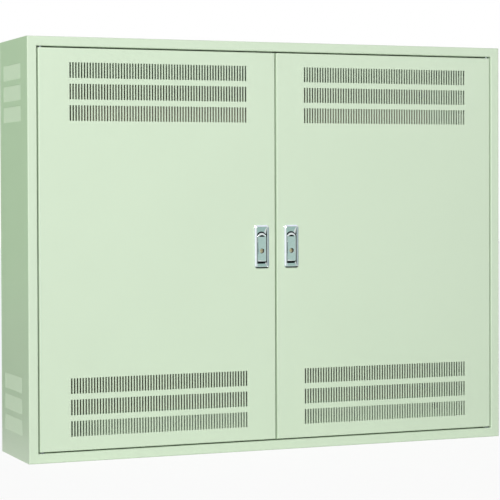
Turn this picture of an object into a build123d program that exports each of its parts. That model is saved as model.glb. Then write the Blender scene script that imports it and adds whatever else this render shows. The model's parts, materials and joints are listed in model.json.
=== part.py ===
from build123d import *
import os

# Wall-mounted equipment cabinet with two inset vented doors, in millimetres.
# The front faces -Y, the bottom face lies on z = 0 and x = 0 is the middle of the width.

# Overall size of the body.
cabinet_width = 1000.0
cabinet_height = 800.0
cabinet_depth = 200.0

# Sheet steel of the body and the doors.
sheet = 1.6
fold_radius = 2.5
cut_overrun = 1.0
weld_gap = 0.5

# Front frame, folded from the wall panels: its face, and the seat behind the doors.
frame_face = 18.5
seat_width = 10.0
seat_gap = 2.0
rear_flange = 15.0

# Doors: folded pans that close flush with the frame.
door_gap = 2.0
meeting_offset = 1.5
door_depth = 24.0
door_return = 12.0

# Vents. The real slots stand at slot_pitch, and one in slot_step of them is modelled.
slot_width = 2.8
slot_height = 29.5
slot_pitch = 5.63
slot_step = 3
door_slots = 64
side_slots = 22
row_pitch = 40.3
rows_in_group = 3
vent_margin = 47.8
side_vent_offset = 10.0

# Door pivots: pins through the frame's lips, with a collar that carries each door.
pivot_inset = 6.0
pin_radius = 2.5
running_clearance = 0.05
pin_head = 6.9
pin_head_height = 3.0
pin_collar = 8.0
pin_nose = 3.0

# Stiffeners: hat sections across the inside of each door.
stiffener_level = 250.0
stiffener_crown = 26.0
stiffener_foot = 12.0
stiffener_height = 10.0
stiffener_hinge_gap = 20.0
stiffener_lock_gap = 60.0

# Rubber bumpers on the frame's seat, behind the doors' free corners.
bumper_length = 14.0
bumper_height = 7.0
bumper_from_edge = 8.0
bumper_clearance = 0.2

# Flush handle: a die-cast case that stands proud of the door and reaches through it.
handle_from_edge = 30.5
handle_level = 400.0
case_width = 30.0
case_height = 84.0
case_proud = 4.5
case_corner = 1.6
rim_corner = 0.5
case_bevel = 3.0
case_bevel_rise = 3.4
case_lip = 2.75
cup_depth = 13.0
cup_floor = 3.0
recess_width = 20.5
recess_height = 77.0
arch_clearance = 1.4
foot_clearance = 2.1
upper_ramp_end = 4.0
lower_ramp_end = 0.3
cutout_clearance = 0.3

# Lever of the handle, hinged at its lower end.
lever_width = 18.5
lever_height = 58.0
lever_thickness = 3.0
lever_below_rim = 0.9
lever_foot_corner = 2.0
lug_width = 11.0
lug_height = 6.5
lug_reach = 4.8
lever_pin_rise = 2.0
lever_pin_depth = 1.5
lever_pin_radius = 1.0
scoop_width = 12.0
scoop_drop = 9.3
scoop_rise = 3.8
scoop_depth = 1.6

# Lock: a key plug in the case, with a cam that drives the two rods.
key_drop = 8.5
plug_radius = 4.0
plug_recess = 1.0
boss_wall = 2.5
lever_key_hole = 4.6
keyway_width = 1.8
keyway_length = 4.6
keyway_depth = 3.0
keyway_offset = 1.2
keyway_slant = 45.0
cam_width = 9.0
cam_thickness = 2.5
cam_gap = 0.8
cam_tail = 5.0
cam_pin_radius = 2.0
rod_travel = 12.0
rod_width = 12.0
rod_thickness = 2.5
rod_from_cam = 0.7
rod_end = 5.0
rod_tip_bevel = 2.5
rod_clearance = 0.3
rod_tip_recess = 0.6
rod_lip_clearance = 1.0
pin_run_out = 0.5
guide_level = 200.0
guide_length = 15.0
guide_wall = 1.5

# Bridges that clamp the handle case to the door from behind.
bridge_width = 10.0
bridge_wall = 1.5
bridge_level = 27.0

# Equipment plate on four spacers, and the wall holes outside its corners.
plate_thickness = 2.3
plate_margin = 70.0
spacer_inset = 20.0
spacer_length = 20.0
spacer_width = 14.0
wall_hole_radius = 5.0
wall_hole_inset = 45.0

# Cable entry in the bottom: an opening closed by a plate on a gasket.
entry_width = 300.0
entry_depth = 90.0
entry_rim = 18.0
entry_setback = 125.0
entry_gasket = 2.0

# Levels and places that follow from the sizes above.
front = -cabinet_depth / 2
back = cabinet_depth / 2
seat_depth = door_depth + seat_gap
opening_half_width = cabinet_width / 2 - frame_face
opening_bottom = frame_face
opening_top = cabinet_height - frame_face
door_bottom = opening_bottom + door_gap
door_top = opening_top - door_gap
vent_group_middle = vent_margin + slot_height / 2 + row_pitch * (rows_in_group - 1) / 2
vent_levels = (vent_group_middle, cabinet_height - vent_group_middle)
cup_width = case_width - 2 * case_lip
cup_height = case_height - 2 * case_lip
floor_depth = cup_depth - cup_floor
lever_face = lever_below_rim - case_proud
lever_rear = lever_face + lever_thickness
key_level = handle_level - key_drop
plug_face = lever_rear + plug_recess
cam_depth = cup_depth + cam_gap
rod_depth = cam_depth + cam_thickness + rod_from_cam
rod_rear = rod_depth + rod_thickness
cam_pin_offset = rod_travel / 2
cam_pin_reach = cam_pin_offset * 2 ** 0.5
rod_offset = (cam_pin_offset + cam_pin_reach) / 2
plate_rear = back - 2 * sheet - spacer_length
hands = {"left": -1, "right": 1}


def block(x_span, y_span, z_span):
    """Box between the lowest and highest coordinate on each axis."""
    spans = (x_span, y_span, z_span)
    sizes = [max(span) - min(span) for span in spans]
    middles = [(max(span) + min(span)) / 2 for span in spans]
    return Pos(*middles) * Box(*sizes)


def rod_along_y(x, y_span, z, radius):
    """Round bar along Y."""
    length = max(y_span) - min(y_span)
    return Pos(x, sum(y_span) / 2, z) * Rot(X=90) * Cylinder(radius, length)


def rod_along_z(x, y, z_span, radius):
    """Round bar along Z."""
    length = max(z_span) - min(z_span)
    return Pos(x, y, sum(z_span) / 2) * Cylinder(radius, length)


def hex_along_z(x, y, z_span, across_flats):
    """Hexagonal bar along Z."""
    outline = RegularPolygon(across_flats / 2, 6, major_radius=False)
    return Pos(x, y, min(z_span)) * extrude(outline, amount=max(z_span) - min(z_span))


def hex_along_y(x, y_span, z, across_flats):
    """Hexagonal bar along Y."""
    outline = RegularPolygon(across_flats / 2, 6, major_radius=False)
    bar = extrude(outline, amount=max(y_span) - min(y_span))
    return Pos(x, max(y_span), z) * Rot(X=90) * bar


def rounded(face, corners, radius):
    """Flat face with the named corners rounded."""
    vertices = [face.vertices().sort_by_distance(corner)[0] for corner in corners]
    return fillet(vertices, radius)


def cut_rectangle(width, height, corner):
    """Flat rectangle with its corners cut off at 45 degrees."""
    face = Rectangle(width, height)
    return chamfer(face.vertices(), corner)


def group(solids):
    """Several separate solids as one shape."""
    return Compound(children=list(solids))


def save(name, shape):
    """Write one sub-part."""
    export_step(shape, os.path.join("parts", name + ".step"))


def slot_cuts(slots, place):
    """Cutting bars for both vent groups, with place(along, level) giving each bar."""
    columns = (slots - 1) // slot_step + 1
    pitch = slot_pitch * slot_step
    cuts = []
    for middle in vent_levels:
        for row in range(rows_in_group):
            level = middle + (row - (rows_in_group - 1) / 2) * row_pitch
            for column in range(columns):
                cuts.append(place((column - (columns - 1) / 2) * pitch, level))
    return cuts


def frame_member(length):
    """Wall panel with its front frame, door seat and rear flange, mitred at both ends.

    The section lies in XY: x runs in from the outer face and y back from the front face.
    """
    seat_end = frame_face + seat_width
    lip_inside = frame_face - sheet
    outer = [
        (rear_flange, cabinet_depth),
        (0, cabinet_depth),
        (0, 0),
        (frame_face, 0),
        (frame_face, seat_depth),
        (seat_end, seat_depth),
    ]
    inner = [
        (seat_end, seat_depth + sheet),
        (lip_inside, seat_depth + sheet),
        (lip_inside, sheet),
        (sheet, sheet),
        (sheet, cabinet_depth - sheet),
        (rear_flange, cabinet_depth - sheet),
    ]
    section = make_face(Polyline(*outer, *inner, close=True))
    section = rounded(section, outer[2:4], fold_radius)
    member = extrude(section, amount=length)
    far = seat_end + rear_flange
    low = [(-cut_overrun, -cut_overrun), (far, -cut_overrun), (far, far)]
    high = [(x, length - z) for x, z in low]
    for outline in (low, high):
        wedge = Plane.XZ * make_face(Polyline(*outline, close=True))
        member -= extrude(wedge, amount=cabinet_depth + cut_overrun, both=True)
    return member


def side_panel(hand):
    """Side wall with its vents, which stand a little behind the middle of the depth."""
    middle = (front + back) / 2 + side_vent_offset
    wall = (hand * (cabinet_width / 2 + cut_overrun), hand * (cabinet_width / 2 - fold_radius))
    if hand < 0:
        place = Plane((-cabinet_width / 2, front, 0), x_dir=(1, 0, 0), z_dir=(0, 0, 1))
    else:
        place = Plane((cabinet_width / 2, front, cabinet_height), x_dir=(-1, 0, 0), z_dir=(0, 0, -1))
    panel = place * frame_member(cabinet_height)

    def bar(along, level):
        low = (middle + along - slot_width / 2, level - slot_height / 2)
        return block(wall, (low[0], low[0] + slot_width), (low[1], low[1] + slot_height))

    return panel - slot_cuts(side_slots, bar)


def hinge_edge(hand):
    """Outer edge of a door."""
    return hand * (opening_half_width - door_gap)


def free_edge(hand):
    """Edge of a door at the middle of the cabinet."""
    return meeting_offset + hand * door_gap / 2


def pivot_place(hand):
    """X and Y of a door's pivot."""
    return hinge_edge(hand) - hand * pivot_inset, front + pivot_inset


def handle_middle(hand):
    """X of a handle's middle."""
    return free_edge(hand) + hand * handle_from_edge


def rod_middle(hand, side):
    """X of a lock rod: the upper rod is on the -1 side of the key, the lower on the +1 side."""
    return handle_middle(hand) + side * rod_offset


def rod_window(hand, side, z_span, clearance):
    """Opening that a lock rod passes through, in a horizontal sheet."""
    middle = rod_middle(hand, side)
    reach = rod_width / 2 + clearance
    depth = (front + rod_depth - clearance, front + rod_rear + clearance)
    return block((middle - reach, middle + reach), depth, z_span)


def rail_panel(top):
    """Top or bottom wall, with the rods' windows in its lip and the upper pivots' holes."""
    if top:
        place = Plane((-cabinet_width / 2, front, cabinet_height), x_dir=(0, 0, -1), z_dir=(1, 0, 0))
        lip = (opening_top - cut_overrun, opening_top + sheet + cut_overrun)
        side = -1
    else:
        place = Plane((cabinet_width / 2, front, 0), x_dir=(0, 0, 1), z_dir=(-1, 0, 0))
        lip = (opening_bottom - sheet - cut_overrun, opening_bottom + cut_overrun)
        side = 1
    panel = place * frame_member(cabinet_width)
    for hand in hands.values():
        panel -= rod_window(hand, side, lip, rod_lip_clearance)
        if top:
            panel -= rod_along_z(*pivot_place(hand), lip, pin_radius + running_clearance)
    return panel


def entry_outline(width, depth, z_span):
    """Rectangular plate centred on the cable entry."""
    middle = front + entry_setback
    return block((-width / 2, width / 2), (middle - depth / 2, middle + depth / 2), z_span)


def bottom_panel():
    """Bottom wall, with the cable entry cut through it."""
    through = (-cut_overrun, sheet + cut_overrun)
    return rail_panel(False) - entry_outline(entry_width, entry_depth, through)


def cable_entry():
    """Gasket round the cable entry, and the plate that closes it."""
    gasket_top = sheet + entry_gasket
    width = entry_width + 2 * entry_rim
    depth = entry_depth + 2 * entry_rim
    gasket = entry_outline(width, depth, (sheet, gasket_top))
    gasket -= entry_outline(entry_width, entry_depth, (sheet, gasket_top))
    return gasket, entry_outline(width, depth, (gasket_top, gasket_top + sheet))


def back_panel():
    """Flat back, welded on the rear flanges, with four wall holes."""
    half_width = cabinet_width / 2 - fold_radius - weld_gap
    bottom = fold_radius + weld_gap
    face = (back - 2 * sheet, back - sheet)
    panel = block((-half_width, half_width), face, (bottom, cabinet_height - bottom))
    x = cabinet_width / 2 - wall_hole_inset
    for z in (wall_hole_inset, cabinet_height - wall_hole_inset):
        for side in (-1, 1):
            panel -= rod_along_y(side * x, face, z, wall_hole_radius)
    return panel


def equipment_plate():
    """Equipment plate, and the spacers that carry it on the back panel."""
    half_width = cabinet_width / 2 - plate_margin
    face = plate_rear - plate_thickness
    levels = (plate_margin, cabinet_height - plate_margin)
    plate = block((-half_width, half_width), (face, plate_rear), levels)
    spacers = []
    for side in (-1, 1):
        x = side * (half_width - spacer_inset)
        for z in (levels[0] + spacer_inset, levels[1] - spacer_inset):
            spacers.append(hex_along_y(x, (plate_rear, plate_rear + spacer_length), z, spacer_width))
    return plate, group(spacers)


def hinge_pins():
    """Four pivot pins: the upper ones drop in from above, the lower ones are welded on the lip."""
    reach = sheet + pin_nose
    pins = []
    for hand in hands.values():
        x, y = pivot_place(hand)
        lip = opening_top + sheet
        upper = rod_along_z(x, y, (door_top - reach, lip), pin_radius)
        pins.append(upper + hex_along_z(x, y, (lip, lip + pin_head_height), pin_head))
        lower = rod_along_z(x, y, (door_bottom, door_bottom + reach), pin_radius)
        pins.append(lower + hex_along_z(x, y, (opening_bottom, door_bottom), pin_collar))
    return group(pins)


def door_bumpers():
    """Rubber pads on the seat behind each door's free corners."""
    depth = (front + seat_depth - seat_gap + bumper_clearance, front + seat_depth)
    pads = []
    for hand in hands.values():
        near = free_edge(hand) + hand * bumper_from_edge
        for level in (opening_bottom + seat_width / 2, opening_top - seat_width / 2):
            span = (level - bumper_height / 2, level + bumper_height / 2)
            pads.append(block((near, near + hand * bumper_length), depth, span))
    return group(pads)


def door_panel(hand):
    """Door pan: vented skin, folded edges and return lips."""
    x_span = sorted((hinge_edge(hand), free_edge(hand)))
    y_span = (front, front + door_depth)
    pan = block(x_span, y_span, (door_bottom, door_top))
    pan = fillet(pan.faces().sort_by(Axis.Y)[0].edges(), fold_radius)
    inside_x = (x_span[0] + sheet, x_span[1] - sheet)
    inside_y = (front + sheet, front + door_depth - sheet)
    hollow = block(inside_x, inside_y, (door_bottom + sheet, door_top - sheet))
    border = sheet + door_return
    rear = block(
        (x_span[0] + border, x_span[1] - border),
        (front + door_depth / 2, front + door_depth + cut_overrun),
        (door_bottom + border, door_top - border),
    )
    skin = (front - cut_overrun, front + fold_radius)
    middle = sum(x_span) / 2

    def bar(along, level):
        low = (middle + along - slot_width / 2, level - slot_height / 2)
        return block((low[0], low[0] + slot_width), skin, (low[1], low[1] + slot_height))

    cup_x = cup_width / 2 + cutout_clearance
    cup_z = cup_height / 2 + cutout_clearance
    x = handle_middle(hand)
    cutout = block((x - cup_x, x + cup_x), skin, (handle_level - cup_z, handle_level + cup_z))
    pivot = pivot_place(hand)
    cuts = [hollow, rear, cutout]
    for side, edge in ((-1, door_top), (1, door_bottom)):
        flange = (edge - fold_radius, edge + fold_radius)
        cuts.append(rod_along_z(*pivot, flange, pin_radius + running_clearance))
        cuts.append(rod_window(hand, side, flange, rod_clearance))
    return pan - cuts - slot_cuts(door_slots, bar)


def door_stiffeners(hand):
    """Two hat sections across the door, above and below the handle."""
    start = hinge_edge(hand) - hand * (door_return + stiffener_hinge_gap)
    end = free_edge(hand) + hand * stiffener_lock_gap
    foot = front + sheet
    crown = foot + stiffener_height
    half = stiffener_crown / 2
    outer = [
        (half + stiffener_foot, foot),
        (half + stiffener_foot, foot + sheet),
        (half, foot + sheet),
        (half, crown),
    ]
    inner = [(half - sheet, crown - sheet), (half - sheet, foot)]
    points = outer + [(-z, y) for z, y in reversed(outer)]
    points += [(-z, y) for z, y in reversed(inner)] + inner
    section = make_face(Polyline(*points, close=True))
    place = Plane((min(start, end), 0, 0), x_dir=(0, 0, -1), z_dir=(1, 0, 0))
    hat = place * extrude(section, amount=abs(end - start))
    return group(Pos(0, 0, level) * hat for level in (stiffener_level, cabinet_height - stiffener_level))


def rod_guides(hand):
    """Bridge over each lock rod, welded on the door's skin."""
    guides = []
    for side, level in ((-1, cabinet_height - guide_level), (1, guide_level)):
        x = rod_middle(hand, side)
        inside = rod_width / 2 + rod_clearance
        outside = inside + guide_wall
        span = (level - guide_length / 2, level + guide_length / 2)
        roof = front + rod_rear + rod_clearance
        bridge = block((x - outside, x + outside), (front + sheet, roof + guide_wall), span)
        guides.append(bridge - block((x - inside, x + inside), (front + sheet, roof), span))
    return group(guides)


def handle_recess():
    """Hollow of the handle case: a ramp above and below, and a well that follows the lever's outline."""
    rim = -case_proud
    end = recess_height / 2
    side = recess_width / 2
    top = lever_height / 2 + arch_clearance
    arch = top - side
    foot = -lever_height / 2 - foot_clearance
    profile = [
        (rim - cut_overrun, end),
        (rim, end),
        (upper_ramp_end, arch),
        (lower_ramp_end, foot),
        (rim, -end),
        (rim - cut_overrun, -end),
    ]
    section = Plane((0, 0, 0), x_dir=(0, 1, 0), z_dir=(1, 0, 0)) * make_face(Polyline(*profile, close=True))
    ramps = extrude(section, amount=side, both=True)
    outline = Polyline((side, arch), (side, foot), (-side, foot), (-side, arch))
    outline += ThreePointArc((-side, arch), (0, top), (side, arch))
    place = Plane((0, floor_depth, 0), x_dir=(1, 0, 0), z_dir=(0, -1, 0))
    well = extrude(place * make_face(outline), amount=floor_depth - rim)
    return [ramps, well]


def handle_place(hand):
    """Moves a shape from the handle's own middle on the door's face to its place."""
    return Pos(handle_middle(hand), front, handle_level)


def lever_pin_place():
    """Depth and height of the lever's pin, from the handle's middle."""
    return lever_pin_depth, lever_pin_rise - lever_height / 2


def handle_case(hand):
    """Die-cast case: bevelled rim on the door, cup through it, and the bore of the key plug."""
    step = case_proud - case_bevel_rise
    foot = cut_rectangle(case_width, case_height, case_corner)
    crown = cut_rectangle(case_width - 2 * case_bevel, case_height - 2 * case_bevel, rim_corner)
    rim = extrude(foot, amount=step)
    rim += loft([Pos(0, 0, step) * foot, Pos(0, 0, case_proud) * crown], ruled=True)
    rim = Rot(X=90) * rim
    cup = block((-cup_width / 2, cup_width / 2), (0, cup_depth), (-cup_height / 2, cup_height / 2))
    case = rim + cup - handle_recess()
    boss = plug_radius + boss_wall
    case += block((-boss, boss), (plug_face, floor_depth), (-key_drop - boss, boss - key_drop))
    case -= rod_along_y(0, (plug_face, cup_depth), -key_drop, plug_radius + running_clearance)
    return handle_place(hand) * case


def lever_pin(hand):
    """Pin that the lever turns on, between the case's side walls."""
    depth, height = lever_pin_place()
    return handle_place(hand) * Pos(0, depth, height) * Rot(Y=90) * Cylinder(lever_pin_radius, recess_width)


def handle_lever(hand):
    """Lever with an arched top, finger scoop, key hole and a hinge lug."""
    half = lever_width / 2
    foot = -lever_height / 2
    arch = lever_height / 2 - half
    outline = Polyline((half, arch), (half, foot), (-half, foot), (-half, arch))
    outline += ThreePointArc((-half, arch), (0, lever_height / 2), (half, arch))
    face = rounded(make_face(outline), [(half, foot), (-half, foot)], lever_foot_corner)
    place = Plane((0, lever_rear, 0), x_dir=(1, 0, 0), z_dir=(0, -1, 0))
    plate = place * extrude(face, amount=lever_thickness)
    flat = lever_height / 2 - scoop_drop
    chord = scoop_width / 2
    scoop = Line((-chord, flat), (chord, flat))
    scoop += ThreePointArc((chord, flat), (0, flat + scoop_rise), (-chord, flat))
    pocket = Plane((0, lever_face, 0), x_dir=(1, 0, 0), z_dir=(0, -1, 0)) * make_face(scoop)
    plate -= extrude(pocket, amount=-scoop_depth)
    depth, height = lever_pin_place()
    lug_x = (-lug_width / 2, lug_width / 2)
    plate += block(lug_x, (lever_face + lever_thickness / 2, lug_reach), (foot, foot + lug_height))
    hole = lever_pin_radius + running_clearance
    plate -= Pos(0, depth, height) * Rot(Y=90) * Cylinder(hole, lever_width + cut_overrun)
    plate -= rod_along_y(0, (lever_face, lever_rear), -key_drop, lever_key_hole)
    return handle_place(hand) * plate


def handle_bridges(hand):
    """Two straps behind the cup that draw the case against the door."""
    inside = cup_width / 2 + cutout_clearance
    outside = inside + bridge_wall
    straps = []
    for level in (bridge_level, -bridge_level):
        span = (level - bridge_width / 2, level + bridge_width / 2)
        strap = block((-outside, outside), (sheet, cup_depth + bridge_wall), span)
        strap -= block((-inside, inside), (sheet, cup_depth), span)
        straps.append(handle_place(hand) * strap)
    return group(straps)


def key_plug(hand):
    """Key plug with its keyway, and a square tail for the cam."""
    plug = rod_along_y(0, (plug_face, cam_depth), 0, plug_radius)
    tail = cam_tail / 2
    plug += block((-tail, tail), (cam_depth, cam_depth + cam_thickness), (-tail, tail))
    keyway_x = (keyway_offset - keyway_length / 2, keyway_offset + keyway_length / 2)
    keyway_z = (-keyway_width / 2, keyway_width / 2)
    keyway = block(keyway_x, (plug_face, plug_face + keyway_depth), keyway_z)
    plug -= Rot(Y=-keyway_slant) * keyway
    return Pos(handle_middle(hand), front, key_level) * plug


def lock_cam(hand):
    """Cam plate on the plug's tail, with a pin for each rod."""
    tail = cam_tail / 2
    depth = (cam_depth, cam_depth + cam_thickness)
    length = 2 * cam_pin_reach + cam_width
    arm = block((-length / 2, length / 2), depth, (-cam_width / 2, cam_width / 2))
    arm = chamfer(arm.edges().filter_by(Axis.Y), cam_width / 4)
    pin = (depth[1], rod_from_cam + depth[1] + rod_thickness + pin_run_out)
    for side in (-1, 1):
        arm += rod_along_y(side * cam_pin_reach, pin, 0, cam_pin_radius)
    arm = Rot(Y=-45) * arm
    arm -= block((-tail, tail), depth, (-tail, tail))
    return Pos(handle_middle(hand), front, key_level) * arm


def lock_rod(hand, side):
    """Flat lock rod: a cross slot for the cam's pin at one end and a bevelled tip at the other."""
    x = rod_middle(hand, side)
    pin_level = key_level + side * cam_pin_offset
    start = pin_level + side * (cam_pin_radius + rod_end)
    tip = door_top - rod_tip_recess if side < 0 else door_bottom + rod_tip_recess
    depth = (front + rod_depth, front + rod_rear)
    rod = block((x - rod_width / 2, x + rod_width / 2), depth, (start, tip))
    ends = rod.edges().filter_by(Axis.Y).sort_by(Axis.Z)
    rod = chamfer(ends[-2:] if side < 0 else ends[:2], rod_tip_bevel)
    sweep = (cam_pin_reach - cam_pin_offset) / 2 + cam_pin_radius + rod_clearance
    height = cam_pin_radius + rod_clearance
    return rod - block((x - sweep, x + sweep), depth, (pin_level - height, pin_level + height))


def build():
    """Write every sub-part."""
    os.makedirs("parts", exist_ok=True)
    save("top_panel", rail_panel(True))
    save("bottom_panel", bottom_panel())
    save("back_panel", back_panel())
    plate, spacers = equipment_plate()
    save("mounting_plate", plate)
    save("plate_spacers", spacers)
    gasket, cover = cable_entry()
    save("cable_entry_gasket", gasket)
    save("cable_entry_plate", cover)
    save("hinge_pins", hinge_pins())
    save("door_bumpers", door_bumpers())
    for name, hand in hands.items():
        save(name + "_side_panel", side_panel(hand))
        save(name + "_door_panel", door_panel(hand))
        save(name + "_door_stiffeners", door_stiffeners(hand))
        save(name + "_rod_guides", rod_guides(hand))
        save(name + "_handle_case", handle_case(hand))
        save(name + "_handle_bridges", handle_bridges(hand))
        save(name + "_lever_pin", lever_pin(hand))
        save(name + "_handle_lever", handle_lever(hand))
        save(name + "_key_plug", key_plug(hand))
        save(name + "_lock_cam", lock_cam(hand))
        save(name + "_upper_rod", lock_rod(hand, -1))
        save(name + "_lower_rod", lock_rod(hand, 1))


build()
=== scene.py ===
"""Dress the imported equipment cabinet: sheet metal, locks, finishes, studio and camera."""
import json
import logging
import math
from collections.abc import Callable, Sequence
from dataclasses import dataclass, field
from enum import Enum

import bmesh
import bpy
from mathutils import Matrix, Vector


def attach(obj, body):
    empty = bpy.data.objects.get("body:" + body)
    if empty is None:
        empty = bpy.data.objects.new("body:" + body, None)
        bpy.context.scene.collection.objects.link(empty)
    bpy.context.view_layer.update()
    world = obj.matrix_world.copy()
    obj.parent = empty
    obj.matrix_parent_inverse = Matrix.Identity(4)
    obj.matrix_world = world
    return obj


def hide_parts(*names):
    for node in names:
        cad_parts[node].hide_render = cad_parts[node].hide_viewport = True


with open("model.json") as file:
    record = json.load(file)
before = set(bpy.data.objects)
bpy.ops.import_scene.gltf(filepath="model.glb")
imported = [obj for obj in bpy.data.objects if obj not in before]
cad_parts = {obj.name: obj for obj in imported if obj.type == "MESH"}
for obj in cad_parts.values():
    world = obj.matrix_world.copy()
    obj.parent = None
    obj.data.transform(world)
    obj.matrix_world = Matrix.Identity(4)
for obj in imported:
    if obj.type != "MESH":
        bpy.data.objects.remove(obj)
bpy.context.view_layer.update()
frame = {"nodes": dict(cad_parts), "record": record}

LOG = logging.getLogger("cabinet")
MM = 0.001
IMAGE_PIXELS = 500
SENSOR_MM = 36.0
# Points nearer than this become one, and edges bent more than this stay crisp.
WELD_MM = 0.001
SHARP_DEGREES = 32.0
# Straight pieces in a fold of the sheet.
ARC_STEPS = 6
# Turns a ring of points by half a step, so that a hexagon has flats at its sides.
HALF_STEP = 0.5
# Sockets of a colour mix, whose names aren't unique: its share, its two colours and its result.
MIX_SHARE, MIX_FIRST, MIX_SECOND, MIX_RESULT = 0, 6, 7, 2
# Finishes of a casting, as its faces number them: plated, and unplated zinc whose dark colour is painted
# shade.
BRIGHT, PAINTED_SHADE = 0, 1
# Ways that a flat of a casting looks.
OUTWARD, INWARD, SIDEWAYS = (0.0, -1.0, 0.0), (0.0, 1.0, 0.0), (1.0, 0.0, 0.0)

Pair = tuple[float, float]
Point = tuple[float, float, float]
Place = Callable[[float, float, float], Point]
Vertex = bmesh.types.BMVert
Chain = list[Vertex]
Tree = bpy.types.NodeTree
Socket = bpy.types.NodeSocket
Inputs = dict[str | int, object]


class Slot(Enum):
    """Material slots that the record names."""

    ENAMEL = "painted_steel"
    PLATE = "plate_paint"
    CHROME = "chrome_plated_zinc"
    BRASS = "brass_plug"
    ZINC = "zinc_plated_steel"
    RUBBER = "black_rubber"


class Hand(Enum):
    """Which door, as the way along X to its hinges."""

    LEFT = -1
    RIGHT = 1

    @property
    def word(self) -> str:
        """Name of the door in the names of nodes and bodies."""
        return self.name.lower()


class Wall(Enum):
    """The four folded walls of the body."""

    LEFT = "left_side_panel"
    RIGHT = "right_side_panel"
    TOP = "top_panel"
    BOTTOM = "bottom_panel"


def linear(code: str) -> tuple[float, float, float, float]:
    """Turn an sRGB hex colour to linear RGBA.

    Args:
        code: colour as "#rrggbb".

    Returns:
        Linear red, green and blue, and an alpha of 1.
    """
    parts = [int(code[i:i + 2], 16) / 255 for i in (1, 3, 5)]
    red, green, blue = (p / 12.92 if p <= 0.04045 else ((p + 0.055) / 1.055) ** 2.4 for p in parts)
    return red, green, blue, 1.0


def add_node(tree: Tree, kind: str, inputs: Inputs | None = None, **settings: object) -> bpy.types.Node:
    """Add one node with its settings, values and links.

    Args:
        tree: node tree of a material or the world.
        kind: Blender's name for the type of node.
        inputs: socket name or number, with a value or the output that feeds it.
        **settings: attributes of the node.

    Returns:
        The node.
    """
    node = tree.nodes.new(kind)
    for name, value in settings.items():
        setattr(node, name, value)
    for key, value in (inputs or {}).items():
        if isinstance(value, Socket):
            tree.links.new(value, node.inputs[key])
        else:
            node.inputs[key].default_value = value
    return node


def new_tree(name: str) -> tuple[bpy.types.Material, Tree]:
    """Make a material with an empty node tree.

    Args:
        name: name of the material.

    Returns:
        The material and its tree.
    """
    material = bpy.data.materials.new(name)
    material.use_nodes = True
    material.node_tree.nodes.clear()
    return material, material.node_tree


def per_mm(spacing: float) -> float:
    """Scale of a texture whose features stand this many millimetres apart."""
    return 1 / (spacing * MM)


@dataclass(frozen=True)
class Finish:
    """What every finish has: a name, two colours that a pattern mixes, and the size of its grain."""

    name: str
    colour: str
    second_colour: str
    roughness: Pair
    grain_mm: float
    grain_rise_mm: float
    grain_detail: float = 3.0

    def material(self) -> bpy.types.Material:
        """Build the node material.

        Returns:
            The material.
        """
        material, tree = new_tree(self.name)
        self.dress(tree, add_node(tree, "ShaderNodeTexCoord").outputs["Object"])
        return material

    def dress(self, tree: Tree, where: Socket) -> None:
        """Lay the patterns: an even grain, where a kind of finish has nothing else of its own.

        Args:
            tree: node tree of the material.
            where: coordinates on the piece.
        """
        grain = add_node(tree, "ShaderNodeTexNoise", self.grain(where)).outputs["Fac"]
        self.shade(tree, grain, grain, {})

    def grain(self, where: Socket) -> Inputs:
        """Size and detail of the grain, on the coordinates that it follows."""
        return {"Vector": where, "Scale": per_mm(self.grain_mm), "Detail": self.grain_detail}

    def shade(self, tree: Tree, tone: Socket, grain: Socket, inputs: Inputs) -> None:
        """Mix the colours, vary the gloss, raise the grain and close the tree.

        Args:
            tree: node tree of the material.
            tone: pattern that mixes the two colours.
            grain: pattern of the gloss and of the small relief.
            inputs: sockets of the shader that are the finish's own.
        """
        colours = {MIX_SHARE: tone, MIX_FIRST: linear(self.colour), MIX_SECOND: linear(self.second_colour)}
        colour = add_node(tree, "ShaderNodeMix", colours, data_type="RGBA")
        bump = add_node(tree, "ShaderNodeBump",
                        {"Height": grain, "Strength": 1.0, "Distance": self.grain_rise_mm * MM})
        gloss: Socket | float = self.roughness[0]
        if self.roughness[0] != self.roughness[1]:
            gloss = add_node(tree, "ShaderNodeMapRange",
                             {"Value": grain, "To Min": self.roughness[0],
                              "To Max": self.roughness[1]}).outputs["Result"]
        shader = add_node(tree, "ShaderNodeBsdfPrincipled",
                          {"Base Color": colour.outputs[MIX_RESULT], "Roughness": gloss,
                           "Normal": bump.outputs["Normal"], **inputs})
        add_node(tree, "ShaderNodeOutputMaterial", {"Surface": shader.outputs["BSDF"]})


@dataclass(frozen=True)
class BakedEnamel(Finish):
    """Polyester enamel sprayed and baked on sheet steel, with orange peel and slow clouds in the coat."""

    grain_detail: float = 1.5
    cloud_mm: float = 240.0
    cloud_detail: float = 2.0
    ior: float = 1.5
    specular_level: float = 0.2

    def dress(self, tree: Tree, where: Socket) -> None:
        """Lay clouds in the colour, and orange peel in the gloss and the relief.

        Args:
            tree: node tree of the material.
            where: coordinates on the piece.
        """
        clouds = {"Vector": where, "Scale": per_mm(self.cloud_mm), "Detail": self.cloud_detail}
        cloud = add_node(tree, "ShaderNodeTexNoise", clouds).outputs["Fac"]
        peel = add_node(tree, "ShaderNodeTexNoise", self.grain(where)).outputs["Fac"]
        self.shade(tree, cloud, peel, {"IOR": self.ior, "Specular IOR Level": self.specular_level})


@dataclass(frozen=True)
class BareMetal(Finish):
    """Metal that shows as metal, cast, plated or machined, with a grain that can be drawn out upwards."""

    grain_stretch: float = 1.0

    def dress(self, tree: Tree, where: Socket) -> None:
        """Lay the drawn grain.

        Args:
            tree: node tree of the material.
            where: coordinates on the piece.
        """
        drawn = add_node(tree, "ShaderNodeMapping",
                         {"Vector": where, "Scale": (1.0, 1.0, 1 / self.grain_stretch)})
        grain = add_node(tree, "ShaderNodeTexNoise", self.grain(drawn.outputs["Vector"])).outputs["Fac"]
        self.shade(tree, grain, grain, {"Metallic": 1.0})


@dataclass(frozen=True)
class MouldedRubber(Finish):
    """Rubber, moulded and cut, with a fine even grain and a little bloom."""


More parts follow.
